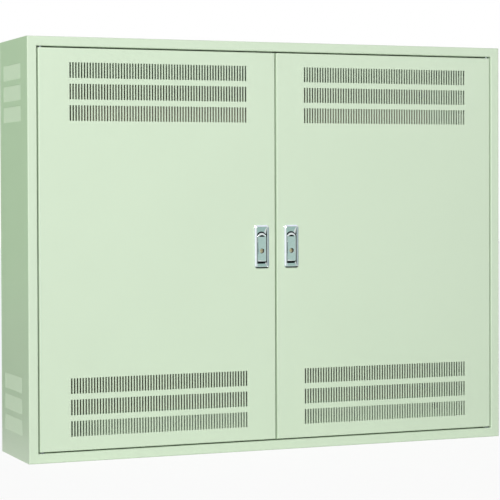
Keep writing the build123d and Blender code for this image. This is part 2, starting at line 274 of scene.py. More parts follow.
FINISHES: dict[Slot, Finish] = {
    # Polyester enamel, sprayed and baked: a pale green satin skin. Its orange peel breaks up the reflections,
    # and a slightly thicker or thinner coat gives slow clouds, a hand's span apart.
    Slot.ENAMEL: BakedEnamel("baked_enamel", "#d4e5cd", "#d0e1c9", (0.36, 0.46), 2.6, 0.006),
    # The same paint in cream on the mounting plate: a warmer and duller skin than the outside.
    Slot.PLATE: BakedEnamel("cream_enamel", "#cbc6ae", "#c3bda4", (0.42, 0.52), 2.6, 0.006),
    # Bright chrome on polished die-cast zinc: a cool mirror that bends a little where the casting is wavy.
    Slot.CHROME: BareMetal("chrome_on_zinc", "#e0e6e6", "#d2dada", (0.05, 0.12), 5.0, 0.008),
    # Machined brass, pale from its thin plating: a warm satin with tool marks drawn out up the plug's face.
    # Real marks are about 0.1 mm apart and are drawn five times as coarse to show.
    Slot.BRASS: BareMetal("machined_brass", "#d9d0b6", "#c3b797", (0.25, 0.4), 0.5, 0.01, grain_stretch=6.0),
    # Zinc plated on steel: a soft blue-grey that glints unevenly. Its crystals are finer than a millimetre
    # and are drawn coarser to show.
    Slot.ZINC: BareMetal("zinc_on_steel", "#a9afb4", "#8b9197", (0.32, 0.48), 2.2, 0.01),
    # Moulded rubber: matt black with a grey bloom in its grain, which is drawn coarser than it is, to show.
    Slot.RUBBER: MouldedRubber("moulded_rubber", "#191a1a", "#2b2d2c", (0.78, 0.78), 0.9, 0.05),
}
# Zinc as it comes from the die, in hollows that the plating doesn't reach: grainy and without a mirror, and
# darkened almost to black as painted shade in the recess, the gaps round the lever, the key hole and the
# scoop. The grain of the die is finer than a millimetre and is drawn coarser to show.
UNPLATED_ZINC_AND_SHADE = BareMetal("as_cast_zinc_and_painted_shade", "#303334", "#202223", (0.5, 0.66), 1.2, 0.03)


def put(name: str, data: bpy.types.ID) -> bpy.types.Object:
    """Make an object and link it to the scene.

    Args:
        name: name of the object.
        data: its mesh, lamp or camera.

    Returns:
        The object.
    """
    thing = bpy.data.objects.new(name, data)
    bpy.context.scene.collection.objects.link(thing)
    return thing


def rectangle(name: str, size: Pair, level: float = 0.0) -> bpy.types.Object:
    """Make a flat rectangle round the Z axis.

    Args:
        name: name of the object.
        size: its sides along X and Y, in metres.
        level: its height.

    Returns:
        The object.
    """
    x, y = (side / 2 for side in size)
    data = bpy.data.meshes.new(name)
    data.from_pydata([(-x, -y, level), (x, -y, level), (x, y, level), (-x, y, level)], [], [(0, 1, 2, 3)])
    return put(name, data)


def circle(radius: float, steps: int, phase: float = 0.0) -> list[Pair]:
    """Points spread evenly round a circle, the first one a share of a step on from its right."""
    angles = [2 * math.pi * (i + phase) / steps for i in range(steps)]
    return [(radius * math.cos(angle), radius * math.sin(angle)) for angle in angles]


class Workshop:
    """Turns meshes into dressed pieces that ride on the bodies."""

    def __init__(self) -> None:
        """Make one material for each slot, and one of unplated casting whose dark colour is painted shade."""
        self.materials = {slot: finish.material() for slot, finish in FINISHES.items()}
        self.unplated_zinc_and_shade = UNPLATED_ZINC_AND_SHADE.material()

    def dress_nodes(self) -> None:
        """Give every carried-over CAD node the finish of its slot."""
        for row in frame["record"]["subparts"]:
            coats = frame["nodes"][row["node"]].data.materials
            coats.clear()
            coats.append(self.materials[Slot(row["material_slot"])])

    def mount(self, piece: bpy.types.Object, body: str, slot: Slot, *replaced: str) -> bpy.types.Object:
        """Dress a new piece and let it ride on a body.

        Args:
            piece: the new object.
            body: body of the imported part.
            slot: its material slot.
            *replaced: CAD nodes that it stands for.

        Returns:
            The piece.
        """
        piece.data.materials.append(self.materials[slot])
        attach(piece, body)
        if replaced:
            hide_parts(*replaced)
        LOG.info("%s rides on %s", piece.name, body)
        return piece


class Blank:
    """A mesh in the making, with points in millimetres."""

    def __init__(self, place: Place | None = None) -> None:
        """Start an empty mesh.

        Args:
            place: turns a piece's own coordinates to the cabinet's, or None where they are the same.
        """
        self.mesh = bmesh.new()
        self.place = place or (lambda x, y, z: (x, y, z))

    def point(self, x: float, y: float, z: float, place: Place | None = None) -> Vertex:
        """Add one point."""
        return self.mesh.verts.new(Vector((place or self.place)(x, y, z)) * MM)

    def face(self, points: Sequence[Vertex], finish: int = 0) -> None:
        """Add one face, with the number of its finish."""
        self.mesh.faces.new(points).material_index = finish

    def bridge(self, first: Chain, second: Chain, finish: int = 0) -> None:
        """Join two closed rings of the same length.

        Args:
            first: points of one ring.
            second: points of the other, in step with the first.
            finish: number of the faces' finish.
        """
        for i, point in enumerate(first):
            after = (i + 1) % len(first)
            self.face((point, first[after], second[after], second[i]), finish)

    def strip(self, first: Chain, second: Chain) -> None:
        """Fill between two open lines of points that run the same way, whatever their lengths.

        Args:
            first: points of one line.
            second: points of the other.
        """
        if len(first) == len(second) == 2:
            self.face((first[0], first[1], second[1], second[0]))
            return
        i = j = 0
        while i < len(first) - 1 or j < len(second) - 1:
            step_first = (first[i + 1].co - first[0].co).length if i < len(first) - 1 else math.inf
            step_second = (second[j + 1].co - second[0].co).length if j < len(second) - 1 else math.inf
            if step_first <= step_second:
                self.face((first[i], first[i + 1], second[j]))
                i += 1
            else:
                self.face((first[i], second[j + 1], second[j]))
                j += 1

    def fill(self, outlines: Sequence[Chain], normal: Point = (0.0, 0.0, 0.0)) -> None:
        """Fill a flat outline and leave the ones inside it open.

        Args:
            outlines: the outer outline, then the holes.
            normal: the way that the faces look, or zeros where the outlines alone decide.
        """
        edges = []
        for outline in outlines:
            for ends in zip(outline, outline[1:] + outline[:1]):
                edges.append(self.mesh.edges.get(ends) or self.mesh.edges.new(ends))
        bmesh.ops.triangle_fill(self.mesh, use_beauty=True, use_dissolve=False, edges=edges, normal=normal)

    def piece(self, name: str) -> bpy.types.Object:
        """Close the mesh and make an object of it.

        Args:
            name: name of the piece.

        Returns:
            The object, in the scene.
        """
        bmesh.ops.remove_doubles(self.mesh, verts=self.mesh.verts, dist=WELD_MM * MM)
        bmesh.ops.recalc_face_normals(self.mesh, faces=self.mesh.faces)
        data = bpy.data.meshes.new(name)
        self.mesh.to_mesh(data)
        self.mesh.free()
        data.shade_smooth()
        data.set_sharp_from_angle(angle=math.radians(SHARP_DEGREES))
        piece = put(name, data)
        normals = piece.modifiers.new("even_normals", "WEIGHTED_NORMAL")
        normals.keep_sharp = True
        return piece


@dataclass(frozen=True)
class Punch:
    """A hole punched in flat sheet: its middle and size across and along the sheet, and its corner radius."""

    across: float
    along: float
    width: float
    length: float
    corner: float

    def corners(self, steps: int) -> list[list[Pair]]:
        """Outline as four rounded corners, counter-clockwise from the far one.

        Args:
            steps: straight pieces in each corner.

        Returns:
            A list of points for each corner.
        """
        corners = []
        for number, (x, y) in enumerate(((1, 1), (-1, 1), (-1, -1), (1, -1))):
            middle = (self.across + x * (self.width / 2 - self.corner),
                      self.along + y * (self.length / 2 - self.corner))
            angles = [math.radians(90 * (number + step / steps)) for step in range(steps + 1)]
            corners.append([(middle[0] + self.corner * math.cos(angle),
                             middle[1] + self.corner * math.sin(angle)) for angle in angles])
        return corners


@dataclass(frozen=True)
class Band:
    """A row of holes across a sheet, in cells of one width."""

    low: float
    high: float
    punches: tuple[Punch, ...]
    cell: float
    steps: int = 3

    def stations(self) -> list[float]:
        """Edges of the cells across the sheet."""
        return [self.punches[0].across - self.cell / 2] + [p.across + self.cell / 2 for p in self.punches]


def around(punch: Punch, margin: float, steps: int = ARC_STEPS) -> Band:
    """Band with one hole and a plain margin round it."""
    reach = punch.length / 2 + margin
    return Band(punch.along - reach, punch.along + reach, (punch,), punch.width + 2 * margin, steps)


def stops_of(bands: Sequence[Band]) -> list[float]:
    """Levels where the bands begin and end."""
    return [level for band in bands for level in (band.low, band.high)]


def perforate(blank: Blank, near: Chain, far: Chain, bands: Sequence[Band],
              at: Callable[[float, float], Vertex]) -> list[Chain]:
    """Fill flat sheet between two lines of points and leave the bands' holes open.

    Args:
        blank: mesh that takes the faces.
        near: points along one edge, two of them for each band between the two ends.
        far: points along the other edge, in step with near.
        bands: rows of holes, in order along the sheet.
        at: makes a point from its place across and along the sheet.

    Returns:
        The outline of every hole.
    """
    outlines = []
    below = [near[0], far[0]]
    for number, band in enumerate(bands):
        low_index = 1 + 2 * number
        lines = []
        for index, level in ((low_index, band.low), (low_index + 1, band.high)):
            inside = [at(station, level) for station in band.stations()]
            lines.append([near[index], *inside, far[index]])
        low, high = lines
        blank.strip(below, low)
        blank.face((low[0], low[1], high[1], high[0]))
        blank.face((low[-2], low[-1], high[-1], high[-2]))
        for i, punch in enumerate(band.punches):
            cell = (high[i + 2], high[i + 1], low[i + 1], low[i + 2])
            corners = [[at(*point) for point in corner] for corner in punch.corners(band.steps)]
            for c, corner in enumerate(corners):
                after = (c + 1) % len(corners)
                for a, b in zip(corner, corner[1:]):
                    blank.face((cell[c], a, b))
                blank.face((cell[c], corner[-1], corners[after][0], cell[after]))
            outlines.append([point for corner in corners for point in corner])
        below = high
    blank.strip(below, [near[-1], far[-1]])
    return outlines


def bent(corners: Sequence[Pair], radii: Sequence[float]) -> list[Pair]:
    """Path through corners, each rounded to its own radius.

    Args:
        corners: places of the ends and the corners.
        radii: bend radius of each inner corner.

    Returns:
        Points along the path, with no repeats.
    """
    path = [corners[0]]
    for before, corner, after, radius in zip(corners, corners[1:], corners[2:], radii):
        here = Vector(corner)
        back = (Vector(before) - here).normalized()
        ahead = (Vector(after) - here).normalized()
        half = back.angle(ahead) / 2
        start = here + back * (radius / math.tan(half))
        middle = here + (back + ahead).normalized() * (radius / math.sin(half))
        spoke = start - middle
        turn = math.pi - 2 * half
        if back.cross(ahead) > 0:
            turn = -turn
        for step in range(ARC_STEPS + 1):
            angle = turn * step / ARC_STEPS
            sine, cosine = math.sin(angle), math.cos(angle)
            path.append((middle.x + spoke.x * cosine - spoke.y * sine,
                         middle.y + spoke.x * sine + spoke.y * cosine))
    path.append(corners[-1])
    kept = path[:1]
    for point in path[1:]:
        if math.dist(point, kept[-1]) > WELD_MM:
            kept.append(point)
    return kept


@dataclass
class FoldedStrip:
    """Sheet folded along its length and mitred at both ends.

    The two faces of the sheet are paths in a section: inset from the outer edge, and depth from the front.
    """

    faces: tuple[list[Pair], list[Pair]]
    length: float
    bands: dict[int, list[Band]] = field(default_factory=dict)
    stops: dict[int, list[float]] = field(default_factory=dict)
    capped: bool = True

    def lay(self, blank: Blank, place: Place) -> None:
        """Add the strip to a mesh.

        Args:
            blank: mesh that takes it.
            place: turns inset, depth and the way along the strip to the cabinet's coordinates.
        """
        chains = [self.chains(blank, path, place) for path in self.faces]
        holes = []
        for path, lines in zip(self.faces, chains):
            outlines = []
            for i, (near, far) in enumerate(zip(lines, lines[1:])):
                if i in self.bands:
                    outlines += self.flat(blank, path[i], path[i + 1], near, far, self.bands[i], place)
                else:
                    blank.strip(near, far)
            holes.append(outlines)
        for outer, inner in zip(*holes):
            blank.bridge(outer, inner)
        blank.strip(chains[0][-1], chains[1][-1])
        if self.capped:
            blank.strip(chains[0][0], chains[1][0])
            self.cap(blank, chains)

    def chains(self, blank: Blank, path: list[Pair], place: Place) -> list[Chain]:
        """Lines of points along the strip, one for each point of a path.

        Args:
            blank: mesh that takes the points.
            path: one face of the sheet, in section.
            place: turns strip coordinates to the cabinet's.

        Returns:
            The lines, each from one mitred end to the other.
        """
        lines = []
        for i, (inset, depth) in enumerate(path):
            levels = set(self.stops.get(i, ()))
            for flat in (i - 1, i):
                levels.update(stops_of(self.bands.get(flat, ())))
            ways = [inset, *sorted(levels), self.length - inset]
            lines.append([blank.point(inset, depth, way, place) for way in ways])
        return lines

    @staticmethod
    def flat(blank: Blank, start: Pair, end: Pair, near: Chain, far: Chain, bands: Sequence[Band],
             place: Place) -> list[Chain]:
        """Fill one punched flat of the section.

        Args:
            blank: mesh that takes it.
            start: section point of the near line.
            end: section point of the far line.
            near: points along the near line.
            far: points along the far line.
            bands: rows of holes.
            place: turns strip coordinates to the cabinet's.

        Returns:
            The outline of every hole.
        """
        if end[1] < start[1]:
            start, end, near, far = end, start, far, near

        def at(across: float, along: float) -> Vertex:
            """Point of the flat at a depth and a way along the strip."""
            share = (across - start[1]) / (end[1] - start[1])
            return blank.point(start[0] + (end[0] - start[0]) * share, across, along, place)

        return perforate(blank, near, far, bands, at)

    @staticmethod
    def cap(blank: Blank, chains: list[list[Chain]]) -> None:
        """Close the mitred ends.

        Args:
            blank: mesh that takes the faces.
            chains: lines of points of the two faces of the sheet.
        """
        outer, inner = chains
        for end in (0, -1):
            for i in range(len(outer) - 1):
                blank.face((outer[i][end], outer[i + 1][end], inner[i + 1][end], inner[i][end]))


@dataclass(frozen=True)
class Sheet:
    """Sheet steel of the body and the doors."""

    thickness: float = 1.6
    fold_radius: float = 2.5

    @property
    def inner_radius(self) -> float:
        """Radius on the hollow side of a fold."""
        return self.fold_radius - self.thickness


@dataclass(frozen=True)
class Vents:
    """Rows of punched slots, in an upper and a lower group."""

    slot_width: float = 3.1
    slot_height: float = 29.5
    slot_corner: float = 0.6
    pitch: float = 5.63
    row_pitch: float = 40.3
    rows_in_group: int = 3
    margin: float = 47.8
    band_margin: float = 2.0

    def levels(self, height: float) -> list[float]:
        """Middles of all rows.

        Args:
            height: height of the cabinet.

        Returns:
            Their levels, from the lowest.
        """
        first = self.margin + self.slot_height / 2
        low = [first + row * self.row_pitch for row in range(self.rows_in_group)]
        return low + [height - level for level in reversed(low)]

    def bands(self, height: float, middle: float, count: int, base: float) -> list[Band]:
        """Bands of slots for one panel.

        Args:
            height: height of the cabinet.
            middle: middle of the rows across the panel.
            count: slots in a row.
            base: level that the panel's own coordinates start from.

        Returns:
            One band for each row.
        """
        reach = self.slot_height / 2 + self.band_margin
        bands = []
        for level in self.levels(height):
            along = level - base
            places = (middle + (i - (count - 1) / 2) * self.pitch for i in range(count))
            slots = tuple(Punch(across, along, self.slot_width, self.slot_height, self.slot_corner)
                          for across in places)
            bands.append(Band(along - reach, along + reach, slots, self.pitch))
        return bands


@dataclass(frozen=True)
class Latching:
    """Places that the doors, the pivots and the lock rods share."""

    gap: float = 2.0
    meeting_offset: float = 1.5
    pivot_inset: float = 6.0
    pivot_hole: float = 2.55
    handle_from_edge: float = 30.5
    handle_level: float = 400.0
    rod_travel: float = 12.0
    rod_width: float = 12.0
    rod_depths: Pair = (17.0, 19.5)
    door_clearance: float = 0.3
    lip_clearance: float = 1.0
    window_corner: float = 0.4
    window_margin: float = 0.8
    window_steps: int = 2
    pivot_margin: float = 0.6
    pivot_round_share: float = 0.999

    @property
    def rod_offset(self) -> float:
        """Way from the plug's axis to a rod, midway between the nearest and farthest place of its cam pin."""
        quarter = self.rod_travel / 4
        return quarter + quarter * 2 ** 0.5

    def free_edge(self, hand: Hand) -> float:
        """X of a door's edge at the middle of the cabinet."""
        return self.meeting_offset + hand.value * self.gap / 2

    def handle_x(self, hand: Hand) -> float:
        """X of a handle's middle."""
        return self.free_edge(hand) + hand.value * self.handle_from_edge

    def window(self, hand: Hand, side: int, start: float, clearance: float) -> Band:
        """Hole for a lock rod in a fold that runs along X.

        Args:
            hand: which door.
            side: -1 for the upper rod and 1 for the lower.
            start: X where the fold's own coordinates start.
            clearance: room round the rod.

        Returns:
            A band with the one hole.
        """
        middle = self.handle_x(hand) + side * self.rod_offset - start
        low, high = self.rod_depths
        hole = Punch((low + high) / 2, middle, high - low + 2 * clearance, self.rod_width + 2 * clearance,
                     self.window_corner)
        return around(hole, self.window_margin, self.window_steps)

    def pivot(self, along: float) -> Band:
        """Round hole for a pivot pin in a fold.

        Args:
            along: its place along the fold.

        Returns:
            A band with the one hole.
        """
        width = 2 * self.pivot_hole
        corner = self.pivot_hole * self.pivot_round_share
        return around(Punch(self.pivot_inset, along, width, width, corner), self.pivot_margin)


@dataclass
class Body:
    """The cabinet's four folded walls, with the front frame and the door seat in one piece with each."""

    sheet: Sheet
    vents: Vents
    latching: Latching
    width: float = 1000.0
    height: float = 800.0
    depth: float = 200.0
    frame_face: float = 18.5
    seat_width: float = 10.0
    seat_depth: float = 26.0
    rear_flange: float = 15.0
    side_slots: int = 22
    side_vent_middle: float = 110.0
    entry: tuple[float, float, float] = (125.0, 90.0, 300.0)
    entry_corner: float = 3.0
    entry_margin: float = 5.0

    @property
    def front(self) -> float:
        """Y of the front face."""
        return -self.depth / 2

    def section(self) -> tuple[list[Pair], list[Pair]]:
        """Section of a wall, from the rear flange to the door seat.

        Returns:
            The two faces of its sheet, as paths of inset and depth.
        """
        thick = self.sheet.thickness
        outer_radius, inner_radius = self.sheet.fold_radius, self.sheet.inner_radius
        seat_end = self.frame_face + self.seat_width
        lip = self.frame_face - thick
        rear = self.depth - thick
        seat_rear = self.seat_depth + thick
        outer = bent([(self.rear_flange, self.depth), (0, self.depth), (0, 0), (self.frame_face, 0),
                      (self.frame_face, self.seat_depth), (seat_end, self.seat_depth)],
                     [outer_radius, outer_radius, outer_radius, inner_radius])
        inner = bent([(self.rear_flange, rear), (thick, rear), (thick, thick), (lip, thick),
                      (lip, seat_rear), (seat_end, seat_rear)],
                     [inner_radius, inner_radius, inner_radius, outer_radius])
        return outer, inner

    def place(self, wall: Wall) -> Place:
        """How inset, depth and the way along a wall become the cabinet's coordinates.

        Args:
            wall: which wall.

        Returns:
            The function that turns them.
        """
        half = self.width / 2
        return {
            Wall.LEFT: lambda inset, depth, way: (inset - half, self.front + depth, way),
            Wall.RIGHT: lambda inset, depth, way: (half - inset, self.front + depth, way),
            Wall.TOP: lambda inset, depth, way: (way - half, self.front + depth, self.height - inset),
            Wall.BOTTOM: lambda inset, depth, way: (way - half, self.front + depth, inset),
        }[wall]

    def bands(self, wall: Wall) -> dict[int, list[Band]]:
        """Holes of a wall.

        Args:
            wall: which wall.

        Returns:
            Rows of holes, by the flat of the section that holds them.
        """
        # A fold is a run of ARC_STEPS narrow flats. The first fold follows the rear flange, and two more lie
        # between the wall and the lip.
        wall_flat = 1 + ARC_STEPS
        lip_flat = wall_flat + 2 * (ARC_STEPS + 1)
        if wall in (Wall.LEFT, Wall.RIGHT):
            return {wall_flat: self.vents.bands(self.height, self.side_vent_middle, self.side_slots, 0.0)}
        side = -1 if wall is Wall.TOP else 1
        half = self.width / 2
        windows = [self.latching.window(hand, side, -half, self.latching.lip_clearance) for hand in Hand]
        if wall is Wall.TOP:
            inset = self.frame_face + self.latching.gap + self.latching.pivot_inset
            pivots = [self.latching.pivot(way) for way in (inset, self.width - inset)]
            return {lip_flat: [pivots[0], *windows, pivots[1]]}
        middle, across, along = self.entry
        opening = around(Punch(middle, half, across, along, self.entry_corner), self.entry_margin)
        return {wall_flat: [opening], lip_flat: windows}

    def build(self, shop: Workshop) -> None:
        """Fold the four walls and put them in place of their CAD nodes.

        Args:
            shop: dresses the pieces.
        """
        for wall in Wall:
            length = self.height if wall in (Wall.LEFT, Wall.RIGHT) else self.width
            blank = Blank()
            FoldedStrip(self.section(), length, self.bands(wall)).lay(blank, self.place(wall))
            name = wall.value.replace("panel", "wall_sheet")
            shop.mount(blank.piece(name), "cabinet", Slot.ENAMEL, wall.value)


@dataclass
class Door:
    """A door: a folded pan with vents, the handle's cut-out and the holes of its pivots and rods.

    Its edges stand back by the trim, which opens the gaps round it to what the eye sees.
    """

    hand: Hand
    body: Body
    depth: float = 24.0
    lip: float = 13.6
    slots: int = 64
    cutout: Pair = (25.1, 79.1)
    cutout_corner: float = 1.0
    cutout_margin: float = 2.0
    cutout_steps: int = 3
    trim: float = 0.6

    @property
    def x_span(self) -> Pair:
        """Left and right edges.

        Returns:
            Their X, the lower one first.
        """
        hinge = self.hand.value * (self.body.width / 2 - self.body.frame_face - self.body.latching.gap)
        low, high = sorted((hinge, self.body.latching.free_edge(self.hand)))
        return low + self.trim, high - self.trim

    @property
    def z_span(self) -> Pair:
        """Lower and upper edges."""
        edge = self.body.frame_face + self.body.latching.gap + self.trim
        return edge, self.body.height - edge

    def section(self) -> tuple[list[Pair], list[Pair]]:
        """Section of an edge fold, from the skin to the end of the return lip.

        Returns:
            The two faces of its sheet, as paths of inset and depth.
        """
        thick, radius = self.body.sheet.thickness, self.body.sheet.fold_radius
        small = self.body.sheet.inner_radius
        rear = self.depth - thick
        outer = bent([(radius, 0), (0, 0), (0, self.depth), (self.lip, self.depth)], [radius, radius])
        inner = bent([(radius, thick), (thick, thick), (thick, rear), (self.lip, rear)], [small, small])
        return outer, inner

    def skin_bands(self) -> list[Band]:
        """Holes of the door's skin.

        Returns:
            Vents and the handle's cut-out, in order up the door.
        """
        low, high = self.x_span
        vents = self.body.vents.bands(self.body.height, (low + high) / 2, self.slots, 0.0)
        latching = self.body.latching
        hole = Punch(latching.handle_x(self.hand), latching.handle_level, *self.cutout, self.cutout_corner)
        half = len(vents) // 2
        return vents[:half] + [around(hole, self.cutout_margin, self.cutout_steps)] + vents[half:]

    def edge_bands(self, upper: bool) -> list[Band]:
        """Pivot hole and rod window in the upper or lower fold.

        Args:
            upper: whether it is the upper fold.

        Returns:
            The two bands, in order along the fold.
        """
        latching = self.body.latching
        low, high = self.x_span
        inset = latching.pivot_inset - self.trim
        pivot = latching.pivot(inset if self.hand is Hand.LEFT else high - low - inset)
        window = latching.window(self.hand, -1 if upper else 1, low, latching.door_clearance)
        return sorted((pivot, window), key=lambda band: band.low)

    def build(self, shop: Workshop) -> None:
        """Fold the door and put it in place of its CAD node.

        Args:
            shop: dresses the piece.
        """
        blank = Blank()
        front = self.body.front
        (left, right), (bottom, top) = self.x_span, self.z_span
        section = self.section()
        bands = self.skin_bands()
        flange = ARC_STEPS  # the flat that follows the section's first fold
        levels = [level - bottom for level in stops_of(bands)]
        upright = FoldedStrip(section, top - bottom, stops={0: levels}, capped=False)
        upright.lay(blank, lambda inset, depth, way: (left + inset, front + depth, bottom + way))
        upright.lay(blank, lambda inset, depth, way: (right - inset, front + depth, bottom + way))
        for upper, level, sign in ((False, bottom, 1), (True, top, -1)):
            edge = FoldedStrip(section, right - left, {flange: self.edge_bands(upper)}, capped=False)
            edge.lay(blank, lambda inset, depth, way, level=level, sign=sign:
                     (left + way, front + depth, level + sign * inset))
        self.skin(blank, bands)
        word = self.hand.word
        shop.mount(blank.piece(f"{word}_door_sheet"), f"{word}_door", Slot.ENAMEL, f"{word}_door_panel")

    def skin(self, blank: Blank, bands: list[Band]) -> None:
        """Fill the flat of the door, front and back, between its folds.

        Args:
            blank: mesh that takes it.
            bands: its holes, in order up the door.
        """
        radius = self.body.sheet.fold_radius
        (left, right), (bottom, top) = self.x_span, self.z_span
        levels = [bottom + radius, *stops_of(bands), top - radius]
        holes = []
        for depth in (0.0, self.body.sheet.thickness):
            y = self.body.front + depth
            near, far = ([blank.point(x, y, level) for level in levels]
                         for x in (left + radius, right - radius))
            holes.append(perforate(blank, near, far, bands, lambda x, z, y=y: blank.point(x, y, z)))
        for outer, inner in zip(*holes):
            blank.bridge(outer, inner)


@dataclass(frozen=True)
class Ring:
    """One level of a casting: an upright rounded outline at a depth behind the door's face.

    A full round keeps a trace of straight side, so that no two of its points meet.
    """

    half_width: float
    half_height: float
    top_corner: float
    foot_corner: float
    depth: float | Callable[[float, float], float]
    rise: float = 0.0
    round_share: float = 0.995

    def points(self, steps: int) -> list[Point]:
        """Outline from the right-hand upper corner round to the left.

        Args:
            steps: straight pieces in each corner.

        Returns:
            Points as x, depth and height from the handle's middle.
        """
        points = []
        for number, (x, z) in enumerate(((1, 1), (-1, 1), (-1, -1), (1, -1))):
            corner = self.top_corner if z > 0 else self.foot_corner
            radius = min(corner, self.half_width * self.round_share)
            for step in range(steps + 1):
                turn = math.radians(90 * (number + step / steps))
                across = x * (self.half_width - radius) + radius * math.cos(turn)
                height = self.rise + z * (self.half_height - radius) + radius * math.sin(turn)
                depth = self.depth(across, height) if callable(self.depth) else self.depth
                points.append((across, depth, height))
        return points


@dataclass
class HandlePiece:
    """What the pieces of a flush handle share: the door, its front and the place of the key."""

    hand: Hand
    latching: Latching
    front: float
    key_drop: float = 8.5

    def place(self, x: float, depth: float, height: float) -> Point:
        """From the handle's middle on the door's face to the cabinet's coordinates."""
        return self.latching.handle_x(self.hand) + x, self.front + depth, self.latching.handle_level + height


@dataclass
class HandleCase(HandlePiece):
    """Die-cast case of a flush handle: a bevelled rim, a recess with two ramps, and the boss of the lock.

    Pairs named for a bevel hold its inset and its drop, and pairs named for a half hold the half width and
    the half height. Each step of the lip is a share of it across, along and deep.
    """

    case_half: Pair = (15.0, 42.0)
    case_corner: float = 4.5
    corner_shrink: float = 0.6
    least_corner: float = 0.5
    proud: float = 4.5
    bevel: Pair = (3.4, 2.0)
    bevel_crown: Pair = (0.9, 2.0)
    foot_bevel_share: float = 0.72
    top_bevel: Pair = (2.8, 2.4)
    top_crown: Pair = (0.4, 0.8)
    foot_radius: float = 0.5
    opening_half: Pair = (10.25, 38.5)
    opening_corner: float = 0.6
    lip: float = 0.25
    lip_steps: tuple[Point, ...] = ((1.0, 0.5, 0.0), (0.3, -0.1, 0.3), (0.0, -1.0, 1.0))
    worn: float = 0.15
    # Last rings of the recess, which take the dark unplated zinc as painted shade.
    painted_shade_rings: int = 2
    side_normal: float = 0.9
    side_tolerance: float = 0.02
    well_span: Pair = (-31.1, 29.4)
    ramp_ends: Pair = (0.3, 4.0)
    dish: float = 2.8
    cove: float = 3.0
    cove_slope: float = 0.3
    floor: float = 10.0
    cup_half: Pair = (12.25, 39.25)
    cup_depth: float = 13.0
    cup_corner: float = 1.0
    cup_edge: float = 0.3
    boss_half: float = 6.5
    boss_corner: float = 0.8
    boss_edge: float = 0.2
    bore: float = 4.05
    boss_face: float = 0.4
    corner_steps: int = 9

    def bevel_path(self, bevel: Pair, crown: Pair) -> list[Pair]:
        """Section of one side of the rim.

        Args:
            bevel: inset and drop of its bevel.
            crown: width of the flat crown and the radius of its edge.

        Returns:
            Insets and depths, from the door's face over the bevel to the crown.
        """
        (inset, rise), (land, radius) = bevel, crown
        return bent([(0, 0), (0, rise - self.proud), (inset, -self.proud), (inset + land, -self.proud)],
                    [self.foot_radius, radius])

    def rim_rings(self) -> list[Ring]:
        """Rings of the rim, with a steeper bevel at the top.

        Returns:
            The rings, from the door's face inwards.
        """
        width, height = self.case_half
        rings = []
        for (step, depth), (top_step, top_depth) in zip(self.bevel_path(self.bevel, self.bevel_crown),
                                                        self.bevel_path(self.top_bevel, self.top_crown)):
            foot_step = step * self.foot_bevel_share
            corner = max(self.case_corner - step * self.corner_shrink, self.least_corner)
            level = self.eased(height - top_step - corner, corner, depth, top_depth)
            rings.append(Ring(width - step, height - (top_step + foot_step) / 2, corner, corner, level,
                              (foot_step - top_step) / 2))
        return rings

    @staticmethod
    def eased(start: float, run: float, low: float, high: float) -> Callable[[float, float], float]:
        """Depth that goes over from one value to another.

        Args:
            start: height where it begins to change.
            run: height that the change takes.
            low: depth below it.
            high: depth above it.

        Returns:
            The depth, as a function of x and height.
        """
        return lambda x, z: low + (high - low) * min(max((z - start) / run, 0.0), 1.0)

    def ramp_depth(self, x: float, height: float) -> float:
        """Depth of the recess's dished upper ramp, or of its lower ramp, coved at the corners.

        Args:
            x: place across the handle.
            height: height from its middle, above zero for the upper ramp.

        Returns:
            Depth behind the door's face.
        """
        width, end = self.opening_half
        crown = -self.proud
        if height > 0:
            arch = self.well_span[1] - width
            slope = (self.ramp_ends[1] - crown) / (end - arch)
            return crown + slope * (end - height) - self.dish * (x / width) ** 2
        slope = (self.ramp_ends[0] - crown) / (end + self.well_span[0])
        return crown + slope * (end + height) - max(0.0, abs(x) - width + self.cove) * self.cove_slope

    def recess_rings(self) -> list[Ring]:
        """Rings of the recess: its edge, the ends of its two ramps, and the arched well.

        Returns:
            The rings, from the crown inwards.
        """
        width, height = self.opening_half
        foot, top = self.well_span
        half, rise = (top - foot) / 2, (top + foot) / 2
        crown, lip, corner = -self.proud, self.lip, self.opening_corner
        edge = [Ring(width + lip * across, height + lip * along, corner, corner, crown + lip * deep)
                for across, along, deep in self.lip_steps]
        return edge + [
            Ring(width, half + self.worn, width, self.cove, self.ramp_depth, rise),
            Ring(width, half, width, self.cove, lambda x, z: self.ramp_depth(x, z) + self.worn, rise),
            Ring(width, half, width, self.cove, self.floor, rise),
        ]

    def lock_rings(self) -> list[Ring]:
        """Rings of the key's boss and bore, and of the cup behind the door.

        Returns:
            The rings, from the floor of the well round to the door's face.
        """
        boss, bore, drop = self.boss_half, self.bore, -self.key_drop
        round_off, bevel = self.boss_corner, self.boss_edge
        width, height = self.cup_half
        corner, edge = self.cup_corner, self.cup_edge
        return [
            Ring(boss, boss, round_off, round_off, self.floor, drop),
            Ring(boss, boss, round_off, round_off, self.boss_face + bevel, drop),
            Ring(boss - bevel, boss - bevel, round_off, round_off, self.boss_face, drop),
            Ring(bore, bore, bore, bore, self.boss_face, drop),
            Ring(bore, bore, bore, bore, self.cup_depth, drop),
            Ring(width - edge, height - edge, corner, corner, self.cup_depth),
            Ring(width, height, corner, corner, self.cup_depth - edge),
            Ring(width, height, corner, corner, 0.0),
        ]

